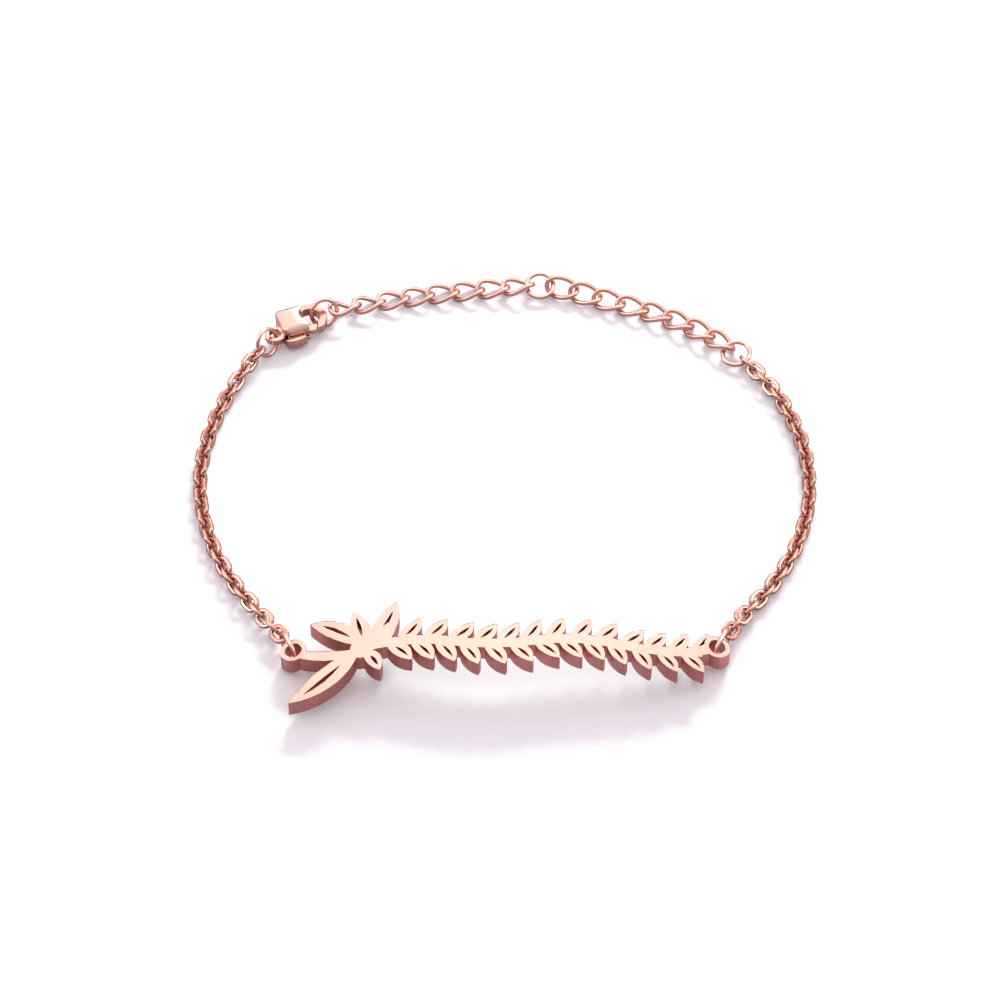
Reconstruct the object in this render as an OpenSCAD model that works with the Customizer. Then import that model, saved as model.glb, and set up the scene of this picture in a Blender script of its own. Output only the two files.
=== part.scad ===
// Nameplate bracelet: a pierced, arched plate on two cable chains, closed by a
// lobster clasp on a curb extender. It lies open on a table as one whole loop.
// Millimetres, +Z up. The origin is on the table under the middle of the loop.

/* [Nameplate] */
// Distance between the centres of the two eyelets
eyelet_span = 48.2; // [44:0.1:56]
// Thickness of the plate
plate_t = 2.15; // [1.4:0.05:2.4]
// Radius of the arch, along the underside
plate_arch_r = 105; // [80:1:200]
// Height of the underside over the table at the two eyelets
plate_lift = 0.9; // [0.8:0.01:1.2]
// Radius of each eyelet's hole
eyelet_hole_r = 0.95; // [0.9:0.01:1.1]
// Width of metal round each eyelet's hole
eyelet_wall = 0.55; // [0.45:0.01:0.6]
// Width of the branch that carries the leaves
stem_w = 1.3; // [0.7:0.05:1.3]
// Length of a small leaf
leaf_len = 4; // [3:0.1:4.6]
// Greatest width of a small leaf
leaf_w = 1.85; // [1.1:0.05:1.9]
// Lean of the small leaves from the branch, in degrees
leaf_lean = 48; // [42:1:56]
// Largest distance from one pair of leaves to the next
leaf_pitch_max = 2.85; // [2.6:0.05:4]
// Width of the slit along the middle of a small leaf
slit_w = 0.34; // [0.2:0.02:0.5]
// Length of the tall leaf of the spray
tall_leaf_len = 7.4; // [5:0.1:9]
// Length of the tail leaf of the spray
tail_leaf_len = 10.6; // [7:0.1:12]
// Greatest width of the leaves of the spray
spray_leaf_w = 2.8; // [1.8:0.1:3]

/* [Cable chain] */
// Length of a cable link
link_len = 2.85; // [2.6:0.05:3.4]
// Width of a cable link
link_w = 2.05; // [1.9:0.05:2.4]
// Width of the link's flat wire
link_wire_w = 0.5; // [0.35:0.01:0.55]
// Thickness of the link's flat wire
link_wire_t = 0.4; // [0.25:0.01:0.45]
// Slack between the wires of two neighbouring links
link_slack = 0.26; // [0.2:0.01:0.4]

/* [Extender] */
// Half length of a curb link, along the middle of its wire
curb_half_len = 1.95; // [1.7:0.05:2.4]
// Half width of a curb link, along the middle of its wire
curb_half_w = 1.22; // [1.1:0.02:1.5]
// Diameter of a curb link's wire
curb_wire_d = 0.58; // [0.4:0.01:0.62]
// Height that each end of a curb link is twisted up and down
curb_twist = 0.46; // [0.4:0.01:0.7]
// Slack between the wires of two neighbouring curb links
curb_slack = 0.2; // [0.14:0.01:0.3]
// Outer diameter of the three round rings
ring_od = 3.9; // [3.6:0.05:4.6]
// Diameter of the round rings' wire
ring_wire_d = 0.55; // [0.4:0.01:0.6]

/* [Clasp] */
// Thickness of the clasp's body
clasp_t = 3.1; // [2.8:0.05:3.6]
// Inner radius of the clasp's hook
hook_in_r = 1.25; // [1.2:0.01:1.5]
// Width of the clasp's hook, across the metal
hook_w = 1; // [0.8:0.02:1.05]
// Height of the hook's metal
hook_h = 1.36; // [1.2:0.02:1.4]
// Radius of the hole in the clasp's bail
bail_hole_r = 0.72; // [0.68:0.01:0.8]
// Width of metal round the bail's hole
bail_wall = 0.58; // [0.45:0.01:0.7]
// Thickness of the lever
lever_t = 0.8; // [0.6:0.02:1]
// Radius of the lever's rivet
rivet_r = 0.34; // [0.25:0.01:0.42]
// Outer diameter of the ring that joins the clasp to the chain
clasp_ring_od = 3.8; // [3.6:0.05:4.4]
// Diameter of the wire of the joining rings
joint_wire_d = 0.5; // [0.4:0.01:0.54]

/* [Hidden] */
rose = [0.87, 0.6, 0.5];
pale_rose = [0.95, 0.75, 0.65];
$fn = 48;

// Gaps between pieces that don't touch
clear = 0.1;
// Gap of the rivet in the body and of the lever on the rivet
rivet_fit = 0.02;
lever_fit = 0.04;
// Cuts run past the faces they cut by this much
over = 1;

// Plan places, from the spot that the photograph is centred on
plate_mid = [0.6, -25.5];
clasp_at = [-27.75, 25.2];
clasp_turn = 22;
middle_ring_at = [5, 34];
end_ring_at = [29.1, 22.7];

// The chosen points of the routes: x, y and height of the wire's middle over the chain's rest
LEFT_ROUTE = [
    [-28.2, -17.4, 0.2], [-31.2, -13, 0], [-33.8, -7.6, 0], [-35.4, -1.6, 0], [-35.8, 4.2, 0],
    [-34.9, 10.4, 0], [-33, 16.4, 0], [-31, 20.3, 0.5]];
RIGHT_ROUTE = [
    [28.3, -18, 0.2], [31.6, -13.7, 0], [34.7, -8, 0], [36.5, -2, 0], [36.9, 3.2, 0],
    [36.2, 9.2, 0], [34.1, 15.4, 0], [31.8, 19.3, 0.05]];

// The extender's routes, as shares of the straight line between their two rings: how far along
// it, how far to its left, and the height in millimetres of the wire's middle over the chain's rest
NEAR_ROUTE = [[0.119, 0.024, 0.4], [0.335, 0.046, 0.06], [0.6, 0.042, 0], [0.837, 0.019, 0.2]];
FAR_ROUTE = [[0.129, 0.017, 0.39], [0.365, 0.043, 0.13], [0.6, 0.068, 0], [0.84, 0.039, 0.22]];

// How each ring stands: its heading in plan and how far its left side is raised
first_ring_heading = 25;
first_ring_tilt = 66;
middle_ring_heading = -3;
middle_ring_tilt = 15;
end_ring_heading = -50;
end_ring_tilt = 13;
clasp_ring_heading = 55;
clasp_ring_tilt = 68;
left_ring_heading = 117;
right_ring_heading = 62;

// Twists of the cable chains at their first and last links, and the rolls of the curb links
// next to the rings: the first ones in turn, then the last one
LEFT_TWIST = [28, 10];
RIGHT_TWIST = [-28, 14];
NEAR_ROLLS = [-25, -12, -4];
NEAR_LAST_ROLL = -12;
FAR_ROLLS = [36, 25, 15, 6];
FAR_LAST_ROLL = -9;

// Steps of the smooth curve between two chosen points
ROUTE_STEPS = 12;

// A point on the smooth curve through four points, a share t of the way from b to c
function between(a, b, c, d, t) =
    0.5 * (2 * b + (c - a) * t + (2 * a - 5 * b + 4 * c - d) * t * t
    + (3 * b - a - 3 * c + d) * t * t * t);

// The whole curve through a list of points
function smooth_path(p) = [
    for (i = [0 : len(p) - 2])
        for (k = [0 : i == len(p) - 2 ? ROUTE_STEPS : ROUTE_STEPS - 1])
            between(p[max(i - 1, 0)], p[i], p[i + 1], p[min(i + 2, len(p) - 1)], k / ROUTE_STEPS)];

// Length along the curve at each of its points
function run_of(p) = [
    for (i = 0, s = 0; i < len(p); s = s + norm(p[min(i + 1, len(p) - 1)] - p[i]), i = i + 1) s];

// The place at a length s along the curve, straight on past both ends
function place_at(p, run, s) =
    let (
        n = len(p),
        after = [for (i = [0 : n - 1]) if (run[i] > s) i],
        j = len(after) == 0 ? n - 1 : max(after[0], 1),
        t = (s - run[j - 1]) / (run[j] - run[j - 1]))
    p[j - 1] + (p[j] - p[j - 1]) * t;

// A unit step in plan towards an angle
function toward(angle) = [cos(angle), sin(angle)];

// Puts a child on the curve at a length s, turned along it and rolled about it,
// and no lower than its own resting height
module on_path(p, run, s, half_step, roll, rest_z) {
    back = place_at(p, run, s - half_step);
    ahead = place_at(p, run, s + half_step);
    step = ahead - back;
    middle = (ahead + back) / 2;
    translate([middle[0], middle[1], max(middle[2], rest_z)])
        rotate([0, 0, atan2(step[1], step[0])])
            rotate([0, -atan2(step[2], norm([step[0], step[1]])), 0])
                rotate([roll, 0, 0])
                    children();
}

// The eyelets, from the middle of the plate
eyelet_out_r = eyelet_hole_r + eyelet_wall;
left_eyelet_side = 0.6;
right_eyelet_side = 1.1;
left_eyelet = [-eyelet_span / 2, left_eyelet_side];
right_eyelet = [eyelet_span / 2, right_eyelet_side];

// The arch of the plate
plate_arch_z = plate_lift - sqrt(pow(plate_arch_r, 2) - pow(eyelet_span / 2, 2));
function arch_height(x, r) = plate_arch_z + sqrt(pow(r, 2) - pow(x, 2));

// The arch is drawn in short flats, each within a hundredth of a millimetre of its curve
ARCH_STEPS = 20;
arch_half = eyelet_span / 2 + 2 * eyelet_out_r;
function arch_edge(r, way) = [
    for (i = [-ARCH_STEPS : ARCH_STEPS])
        [way * arch_half * i / ARCH_STEPS, arch_height(arch_half * i / ARCH_STEPS, r)]];

// The hub that the spray's leaves grow from, and the tail leaf's root and direction from it
stem_len = 7.8;
hub_side = -0.3;
hub_at = [stem_len - eyelet_span / 2, hub_side];
hub_r = 1.3;
tail_root = [-0.1, 0.4];
tail_lean = 221;

// Room kept at the branch's two ends, and how far the leaves shrink along it
leaf_room = 1.6;
first_leaf = 0.6;
leaf_taper = 0.1;
LEAF_BEND = -0.16;
LEAF_SLIT = 0.5;

// The oval rings stand upright through the eyelets and round their outer walls, with this slack
// above and below the plate and beside the wall
oval_slack_up = 0.22;
oval_slack_out = 0.35;
oval_h = plate_t + 2 * (joint_wire_d + oval_slack_up);
oval_straight = eyelet_wall + oval_slack_out;
oval_len = oval_h + oval_straight;
oval_shift = eyelet_hole_r + eyelet_wall / 2 + 2 * clear;
function oval_centre(eyelet, heading) = plate_mid + eyelet + toward(heading) * oval_shift;
function oval_mid_z(eyelet, heading) =
    arch_height(eyelet[0] + oval_shift * cos(heading), plate_arch_r) + plate_t / 2;
function oval_end(eyelet, heading) =
    oval_centre(eyelet, heading) + toward(heading) * (oval_len / 2 - joint_wire_d / 2);

// The round rings
ring_r = (ring_od - ring_wire_d) / 2;
clasp_ring_r = (clasp_ring_od - joint_wire_d) / 2;
function ring_z(r, wire_d, tilt) = r * sin(tilt) + wire_d / 2;
// The two flatter rings are held a little off the table by the links that they join
middle_ring_lift = 0.55;
end_ring_lift = 0.37;
first_ring_z = ring_z(ring_r, ring_wire_d, first_ring_tilt);
middle_ring_z = ring_z(ring_r, ring_wire_d, middle_ring_tilt) + middle_ring_lift;
end_ring_z = ring_z(ring_r, ring_wire_d, end_ring_tilt) + end_ring_lift;
clasp_ring_z = ring_z(clasp_ring_r, joint_wire_d, clasp_ring_tilt);
// How far the links sag below the middles of the upright rings that hold them
oval_sag = 0.1;
joint_sag = 0.12;

// The clasp, in its own plan: x runs from the bail to the hook's end
clasp_z = clasp_t / 2;
bail_r = bail_hole_r + bail_wall / 2;
bail_h = 0.9;
hook_r = hook_in_r + hook_w / 2;
hook_out_r = hook_in_r + hook_w;
hook_at = [4.8, 0.95];
lobe_r = 2.5;
lobe_at = [2.85, 0.95];
lobe_from = 0.9;
lobe_to = 4.1;
lobe_near = -1.3;
neck_w = 1.5;
// The crest of the lobe's two domes, across and along; the flat top cuts off the one across
crest_at = [2.45, 0.85];
dome_across_r = 2.9;
dome_along_r = 5.4;
crest_cut = 0.3;
PIVOT_TURN = 218;
pivot_at = hook_at + hook_r * toward(PIVOT_TURN);
// The hook runs between these two directions, and its tip is cut to the arc that the gate swings on
HOOK_TIP = -80;
HOOK_ROOT = 165;
// Half way along the gate, and how far the slot runs on past the gate's root
GATE_MIDDLE = (PIVOT_TURN + HOOK_TIP + 360) / 2;
SLOT_TURN = 22;
// Height of the bows' shoulders over their middle, as a share of their whole height
BOW_SHOULDER = 0.42;
gate_swing_r = hook_in_r + 0.8;
// Sectors of the clasp's plan reach this far, well past its outline
far_out = 4 * lobe_r;
// The rivet reaches this far above and below the clasp's middle plane
rivet_top = 0.95;
slot_h = lever_t + 2 * clear;
// The lever's boss on the rivet, and how far its gate stands inside the hook's faces
boss_r = 0.85;
gate_inset = 0.06;
// The thumb pad stands just off the body's near side, on a web from the boss
pad_len = 2.5;
pad_w = 0.6;
pad_h = 1.4;
pad_bow_r = 3.2;
pad_drop = 0.28;
pad_gap = 0.22;
web_len = 1.8;
pad_left = 0.95;
pad_at = [pad_left, lobe_near - pad_gap - pad_w];
web_left = pad_left + (pad_len - web_len) / 2;
function clasp_point(p) =
    clasp_at + [p[0] * cos(clasp_turn) - p[1] * sin(clasp_turn),
                p[0] * sin(clasp_turn) + p[1] * cos(clasp_turn)];
first_ring_out = [0.32, 0.25];
first_ring_at = clasp_point(hook_at + [hook_r, 0] + first_ring_out);
clasp_ring_at = clasp_at - toward(clasp_ring_heading) * (clasp_ring_r - rivet_fit);

// How far the cable links lean to one side and the other, in degrees
LINK_LEAN = 45;
// Resting heights of the chains' middles
rest_gap = 0.04;
function link_rest(roll) = rest_gap + (link_w * abs(sin(roll)) + link_wire_t * abs(cos(roll))) / 2;
link_z = link_rest(LINK_LEAN);
curb_z = curb_twist + curb_wire_d / 2;

// Distance from the middle of a link to the middle of a round wire held in its end
link_hold = link_len / 2 - link_wire_w - link_slack / 2;
function link_reach(wire_d) = link_hold - (wire_d + clear) / 2;
link_pitch = 2 * link_hold;
ring_slack = 0.28;
curb_pitch = 2 * curb_half_len - curb_wire_d - curb_slack;
curb_reach = curb_half_len - (curb_wire_d + ring_wire_d) / 2 - ring_slack;

function raised(route, z) = [for (q = route) [q[0], q[1], q[2] + z]];
function from_oval(eyelet, heading) =
    [each oval_end(eyelet, heading), oval_mid_z(eyelet, heading) - oval_sag];
left_path = smooth_path(concat(
    [from_oval(left_eyelet, left_ring_heading)],
    raised(LEFT_ROUTE, link_z),
    [[each clasp_ring_at - toward(clasp_ring_heading) * clasp_ring_r, clasp_ring_z - joint_sag]]));
right_path = smooth_path(concat(
    [from_oval(right_eyelet, right_ring_heading)],
    raised(RIGHT_ROUTE, link_z),
    [[each end_ring_at + toward(end_ring_heading) * ring_r, end_ring_z]]));
// The points of a route given as shares of the line from a to b
function spread(route, a, b, z) = [
    for (q = route)
        let (side = [a[1] - b[1], b[0] - a[0]], at = a + (b - a) * q[0] + side * q[1])
            [at[0], at[1], q[2] + z]];
near_from = first_ring_at + toward(first_ring_heading) * ring_r;
near_to = middle_ring_at - toward(middle_ring_heading) * ring_r;
far_from = middle_ring_at + toward(middle_ring_heading) * ring_r;
far_to = end_ring_at - toward(end_ring_heading) * ring_r;
near_path = smooth_path(concat(
    [[each near_from, first_ring_z - joint_sag]],
    spread(NEAR_ROUTE, near_from, near_to, curb_z),
    [[each near_to, middle_ring_z]]));
far_path = smooth_path(concat(
    [[each far_from, middle_ring_z]],
    spread(FAR_ROUTE, far_from, far_to, curb_z),
    [[each far_to, end_ring_z]]));

// The middle of the loop's own box, which goes over the origin
link_side = (link_w + link_wire_t) / 2 * cos(LINK_LEAN);
tail_tip = plate_mid + hub_at + tail_root + tail_leaf_len * toward(tail_lean);
loop_low = [min([for (q = left_path) q[0]]) - link_side, tail_tip[1]];
loop_high = [max([for (q = right_path) q[0]]) + link_side,
             middle_ring_at[1] + ring_r * cos(middle_ring_tilt) + ring_wire_d / 2];
loop_mid = (loop_low + loop_high) / 2;

module on_table() {
    translate([-loop_mid[0], -loop_mid[1], 0])
        children();
}

// A leaf on its chord: back and belly are the rises of its two arcs over the chord
module leaf(length, back, belly) {
    back_r = (pow(length / 2, 2) + pow(back, 2)) / (2 * back);
    belly_r = (pow(length / 2, 2) + pow(belly, 2)) / (2 * abs(belly));
    if (belly < 0) {
        intersection() {
            translate([length / 2, back - back_r]) circle(r = back_r, $fn = 180);
            translate([length / 2, belly + belly_r]) circle(r = belly_r, $fn = 180);
        }
    } else {
        difference() {
            translate([length / 2, back - back_r]) circle(r = back_r, $fn = 180);
            translate([length / 2, belly - belly_r]) circle(r = belly_r, $fn = 180);
        }
    }
}

// A leaf of a width, bent by a share of it, with a slit cut along its middle; the slit leaves
// more of the leaf uncut at its root, and lies a little inside the leaf's own bend
SLIT_ROOT_SHARE = 0.62;
SLIT_BEND_SHARE = 0.92;
module slit_leaf(length, width, bend, slit, slit_share) {
    middle = width * bend;
    slit_len = length * slit_share;
    difference() {
        leaf(length, middle + width / 2, middle - width / 2);
        if (slit > 0)
            translate([(length - slit_len) * SLIT_ROOT_SHARE,
                       middle * (1 - pow(slit_share, 2)) * SLIT_BEND_SHARE])
                leaf(slit_len, middle * pow(slit_share, 2) + slit / 2,
                     middle * pow(slit_share, 2) - slit / 2);
    }
}

// The branch between the spray and the right eyelet waves in arcs of one length, each run on
// a little into the next
BRANCH_WAVES = 4;
WAVE_LAP = 1.02;
BRANCH_ROOT = 0.6;
BRANCH_STOP = 1.3;
branch_start = hub_at[0] + hub_r * BRANCH_ROOT;
branch_end = eyelet_span / 2 - eyelet_out_r * BRANCH_STOP;
wave_len = (branch_end - branch_start) / BRANCH_WAVES;
wave_rise = 0.42;
wave_r = (pow(wave_len / 2, 2) + pow(wave_rise, 2)) / (2 * wave_rise);
function wave_side(x) = floor((x - branch_start) / wave_len) % 2 == 0 ? 1 : -1;
function wave_offset(x) = (x - branch_start) % wave_len - wave_len / 2;
function branch_y(x) =
    wave_side(x) * (sqrt(pow(wave_r, 2) - pow(wave_offset(x), 2)) - wave_r + wave_rise);
function branch_turn(x) = wave_side(x) * -asin(wave_offset(x) / wave_r);

module branch_wave(i) {
    side = i % 2 == 0 ? 1 : -1;
    middle_x = branch_start + (i + 0.5) * wave_len;
    half_turn = asin(wave_len / 2 / wave_r) * WAVE_LAP;
    translate([middle_x, side * (wave_rise - wave_r)])
        intersection() {
            difference() {
                circle(r = wave_r + stem_w / 2, $fn = 240);
                circle(r = wave_r - stem_w / 2, $fn = 240);
            }
            mirror([0, side > 0 ? 0 : 1])
                polygon([[0, 0], 2 * wave_r * toward(90 + half_turn),
                         2 * wave_r * toward(90 - half_turn)]);
        }
}

// The leaves along the branch, above and below it in turn
leaf_run = branch_end - branch_start - leaf_room;
leaf_pairs = ceil(leaf_run / leaf_pitch_max);
leaf_pitch = leaf_run / leaf_pairs;

module branch_leaf(i, side, shift) {
    x = branch_start + first_leaf + (i + shift) * leaf_pitch;
    grow = 1 - leaf_taper * i / leaf_pairs;
    translate([x, branch_y(x)])
        rotate(branch_turn(x))
            mirror([0, side > 0 ? 0 : 1])
                rotate(leaf_lean)
                    slit_leaf(leaf_len * grow, leaf_w * grow, LEAF_BEND, slit_w, LEAF_SLIT);
}

// The leaves of the spray: root x and y as shares of the hub's radius, direction, share of the
// tall leaf's length, share of the spray leaves' width, bend and share of the slit's length
SPRAY = [
    [0.46, -0.23, 64, 1, 0.92, -0.16, 0.52],
    [0.23, 0, 104, 0.76, 0.76, -0.1, 0.5],
    [0.31, 0.23, 148, 1.02, 0.86, -0.22, 0.5],
    [0.15, -0.08, -58, 0.5, 0.62, 0.16, 0.42]];
// Width of the spray's and the tail's slits, in small leaves' slits, and the tail's bend and slit
SPRAY_SLIT = 1.25;
TAIL_SLIT = 1.4;
TAIL_BEND = 0.2;
TAIL_SLIT_SHARE = 0.5;

module spray() {
    translate(hub_at) {
        for (q = SPRAY)
            translate(hub_r * [q[0], q[1]])
                rotate(q[2])
                    slit_leaf(tall_leaf_len * q[3], spray_leaf_w * q[4], q[5],
                              slit_w * SPRAY_SLIT, q[6]);
        translate(tail_root)
            rotate(tail_lean)
                slit_leaf(tail_leaf_len, spray_leaf_w, TAIL_BEND, slit_w * TAIL_SLIT,
                          TAIL_SLIT_SHARE);
        circle(r = hub_r);
    }
}

// The bowed stem from the left eyelet to the spray, the rises of its two sides as shares of the
// branch's width, and the branch's run into the right eyelet
STEM_TURN = -6;
STEM_BACK = 1.3;
STEM_BELLY = 0.27;
BRANCH_END_TURN = 22;
module eyelet_stems() {
    translate(left_eyelet)
        rotate(STEM_TURN)
            mirror([0, 1])
                translate([-eyelet_out_r, 0])
                    leaf(stem_len + 2 * eyelet_out_r, stem_w * STEM_BACK, stem_w * STEM_BELLY);
    translate([branch_end - hub_r / 3, -stem_w / 2])
        rotate(BRANCH_END_TURN)
            square([2 * hub_r, stem_w]);
}

module plate_outline() {
    difference() {
        union() {
            spray();
            eyelet_stems();
            for (i = [0 : BRANCH_WAVES - 1])
                branch_wave(i);
            for (i = [0 : leaf_pairs])
                branch_leaf(i, 1, 0);
            for (i = [0 : leaf_pairs - 1])
                branch_leaf(i, -1, 0.5);
            for (eyelet = [left_eyelet, right_eyelet])
                translate(eyelet)
                    circle(r = eyelet_out_r);
        }
        for (eyelet = [left_eyelet, right_eyelet])
            translate(eyelet)
                circle(r = eyelet_hole_r);
    }
}

// The pierced plate, cut from an arched strip with upright walls
module nameplate() {
    color(pale_rose)
        on_table()
            translate([plate_mid[0], plate_mid[1], 0])
                intersection() {
                    linear_extrude(height = arch_height(0, plate_arch_r + plate_t) + over)
                        plate_outline();
                    rotate([90, 0, 0])
                        linear_extrude(height = eyelet_span, center = true)
                            polygon(concat(arch_edge(plate_arch_r, 1),
                                           arch_edge(plate_arch_r + plate_t, -1)));
                }
}

// A link of round wire with straight sides and half round ends
module long_ring_of_round_wire(length, width, wire_d) {
    bow_r = (width - wire_d) / 2;
    straight = length - width;
    for (turn = [0, 180])
        rotate([0, 0, turn]) {
            translate([straight / 2, 0, 0])
                rotate([0, 0, -90])
                    rotate_extrude(angle = 180)
                        translate([bow_r, 0])
                            circle(d = wire_d, $fn = 24);
            translate([-straight / 2, bow_r, 0])
                rotate([0, 90, 0])
                    cylinder(d = wire_d, h = straight, $fn = 24);
        }
}

module flat_link() {
    bow_out_r = link_w / 2;
    straight = link_len - link_w;
    for (turn = [0, 180])
        rotate([0, 0, turn]) {
            translate([straight / 2, 0, 0])
                rotate([0, 0, -90])
                    rotate_extrude(angle = 180)
                        translate([bow_out_r - link_wire_w, -link_wire_t / 2])
                            square([link_wire_w, link_wire_t]);
            translate([-straight / 2, bow_out_r - link_wire_w, -link_wire_t / 2])
                cube([straight, link_wire_w, link_wire_t]);
        }
}

module eyelet_ring(eyelet, heading) {
    centre = oval_centre(eyelet, heading);
    color(rose)
        on_table()
            translate([centre[0], centre[1], oval_mid_z(eyelet, heading)])
                rotate([0, 0, heading])
                    rotate([90, 0, 0])
                        long_ring_of_round_wire(oval_len, oval_h, joint_wire_d);
}

module eyelet_ring_left() {
    eyelet_ring(left_eyelet, left_ring_heading);
}

module eyelet_ring_right() {
    eyelet_ring(right_eyelet, right_ring_heading);
}

// Flat links along a path: they lean to one side and the other,
// and the whole chain is twisted a little more over this many links at its two ends
TWIST_LINKS = 5;
function end_twist(links_away) = max(0, 1 - links_away / TWIST_LINKS);
module cable_chain(path, first_wire_d, last_wire_d, side, twist) {
    run = run_of(path);
    first = link_reach(first_wire_d);
    last = run[len(run) - 1] - link_reach(last_wire_d);
    steps = 2 * round((last - first) / link_pitch / 2);
    step = (last - first) / steps;
    for (i = [0 : steps]) {
        more = twist[0] * end_twist(i) + twist[1] * end_twist(steps - i);
        roll = LINK_LEAN * (i % 2 == 0 ? side : -side) + more;
        on_path(path, run, first + i * step, step / 2, roll, link_rest(roll))
            flat_link();
    }
}

module chain_left() {
    color(rose)
        on_table()
            cable_chain(left_path, joint_wire_d, joint_wire_d, -1, LEFT_TWIST);
}

module chain_right() {
    color(rose)
        on_table()
            cable_chain(right_path, joint_wire_d, ring_wire_d, 1, RIGHT_TWIST);
}

// One curb link: an oval of round wire, twisted so that its neighbours pass through it
CURB_RINGS = 16;
CURB_SIDES = 6;
function curb_point(t) =
    [curb_half_len * cos(t), curb_half_w * sin(t), -curb_twist * sin(2 * t)];
function curb_step(t) =
    let (d = [-curb_half_len * sin(t), curb_half_w * cos(t), -2 * curb_twist * cos(2 * t)])
    d / norm(d);
function curb_corner(t, turn) =
    let (
        along = curb_step(t),
        side_raw = cross(along, [0, 0, 1]),
        side = side_raw / norm(side_raw),
        up = cross(side, along))
    curb_point(t) + curb_wire_d / 2 * (side * cos(turn) + up * sin(turn));

// How high the middle of a rolled curb link lies when it rests on the table
function curb_rest(roll) =
    rest_gap + curb_wire_d / 2 + max([for (i = [0 : 2 * CURB_RINGS - 1])
        let (q = curb_point(i * 180 / CURB_RINGS)) -(q[2] * cos(roll) + q[1] * sin(roll))]);

module curb_link() {
    points = [
        for (i = [0 : CURB_RINGS - 1])
            for (k = [0 : CURB_SIDES - 1])
                curb_corner(i * 360 / CURB_RINGS, k * 360 / CURB_SIDES)];
    faces = [
        for (i = [0 : CURB_RINGS - 1])
            for (k = [0 : CURB_SIDES - 1])
                for (half = [0, 1])
                    let (
                        j = (i + 1) % CURB_RINGS,
                        m = (k + 1) % CURB_SIDES,
                        a = i * CURB_SIDES + k,
                        b = j * CURB_SIDES + k,
                        c = j * CURB_SIDES + m,
                        d = i * CURB_SIDES + m)
                    half == 0 ? [a, b, c] : [a, c, d]];
    polyhedron(points = points, faces = faces, convexity = 4);
}

// Curb links along a path, each lying flat apart from the ones next to a tilted ring
module curb_chain(path, first_rolls, last_roll) {
    run = run_of(path);
    length = run[len(run) - 1];
    steps = round((length - 2 * curb_reach) / curb_pitch);
    step = (length - 2 * curb_reach) / steps;
    for (i = [0 : steps]) {
        roll = i == steps ? last_roll : i < len(first_rolls) ? first_rolls[i] : 0;
        on_path(path, run, curb_reach + i * step, step / 2, roll, curb_rest(roll))
            curb_link();
    }
}

module extender_chain_near() {
    color(rose)
        on_table()
            curb_chain(near_path, NEAR_ROLLS, NEAR_LAST_ROLL);
}

module extender_chain_far() {
    color(rose)
        on_table()
            curb_chain(far_path, FAR_ROLLS, FAR_LAST_ROLL);
}

// A round ring of round wire, its left side raised as it heads along the chain
module round_ring(at, z, heading, tilt, r, wire_d) {
    translate([at[0], at[1], z])
        rotate([0, 0, heading])
            rotate([tilt, 0, 0])
                rotate_extrude()
                    translate([r, 0])
                        circle(d = wire_d, $fn = 24);
}

module extender_first_ring() {
    color(rose)
        on_table()
            round_ring(first_ring_at, first_ring_z, first_ring_heading, first_ring_tilt,
                       ring_r, ring_wire_d);
}

module extender_middle_ring() {
    color(rose)
        on_table()
            round_ring(middle_ring_at, middle_ring_z, middle_ring_heading, middle_ring_tilt,
                       ring_r, ring_wire_d);
}

module extender_end_ring() {
    color(rose)
        on_table()
            round_ring(end_ring_at, end_ring_z, end_ring_heading, end_ring_tilt,
                       ring_r, ring_wire_d);
}

module clasp_ring() {
    color(rose)
        on_table()
            round_ring(clasp_ring_at, clasp_ring_z, clasp_ring_heading, clasp_ring_tilt,
                       clasp_ring_r, joint_wire_d);
}

// Puts a child in the clasp's own plan, at the middle of its thickness
module in_clasp() {
    on_table()
        translate([clasp_at[0], clasp_at[1], clasp_z])
            rotate([0, 0, clasp_turn])
                children();
}

// A bow of metal round a centre: flat inner and outer walls, domed above and below
module domed_bow(r, width, height, from_turn, to_turn) {
    dome_r = sqrt(pow(width / 2, 2) + pow(height * BOW_SHOULDER, 2));
    rotate([0, 0, from_turn])
        rotate_extrude(angle = to_turn - from_turn)
            translate([r, 0])
                intersection() {
                    square([width, height], center = true);
                    circle(r = max(dome_r, height / 2), $fn = 48);
                }
}

module clasp_body() {
    color(rose)
        in_clasp()
            difference() {
                union() {
                    difference() {
                        translate([hook_at[0], hook_at[1], 0])
                            domed_bow(hook_r, hook_w, hook_h, HOOK_TIP, HOOK_ROOT);
                        translate([pivot_at[0], pivot_at[1], 0])
                            cylinder(r = gate_swing_r, h = clasp_t, center = true, $fn = 96);
                    }
                    domed_bow(bail_r, bail_wall, bail_h, 0, 360);
                    clasp_lobe();
                }
                lever_slot();
                translate([hook_at[0], hook_at[1], 0])
                    cylinder(r = hook_in_r, h = clasp_t + over, center = true, $fn = 96);
                cylinder(r = bail_hole_r, h = clasp_t + over, center = true);
                translate([pivot_at[0], pivot_at[1], -clasp_z - over])
                    cylinder(r = rivet_r + rivet_fit, h = clasp_z + over + rivet_top + rivet_fit,
                             $fn = 32);
            }
}

// The thick middle of the body: a rounded outline, domed across and along, with a flat top
module clasp_lobe() {
    intersection() {
        linear_extrude(height = clasp_t, center = true)
            union() {
                intersection() {
                    translate(lobe_at)
                        circle(r = lobe_r);
                    translate([lobe_from, lobe_near])
                        square([lobe_to - lobe_from, hook_at[1] + hook_out_r - lobe_near]);
                }
                translate([bail_r, -neck_w / 2])
                    square([lobe_from, neck_w]);
            }
        rotate([90, 0, 90])
            linear_extrude(height = lobe_to + over)
                lens(crest_at[1], dome_across_r, clasp_t / 2 + crest_cut);
        rotate([90, 0, 0])
            linear_extrude(height = far_out, center = true)
                lens(crest_at[0], dome_along_r, clasp_t / 2);
    }
}

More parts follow.
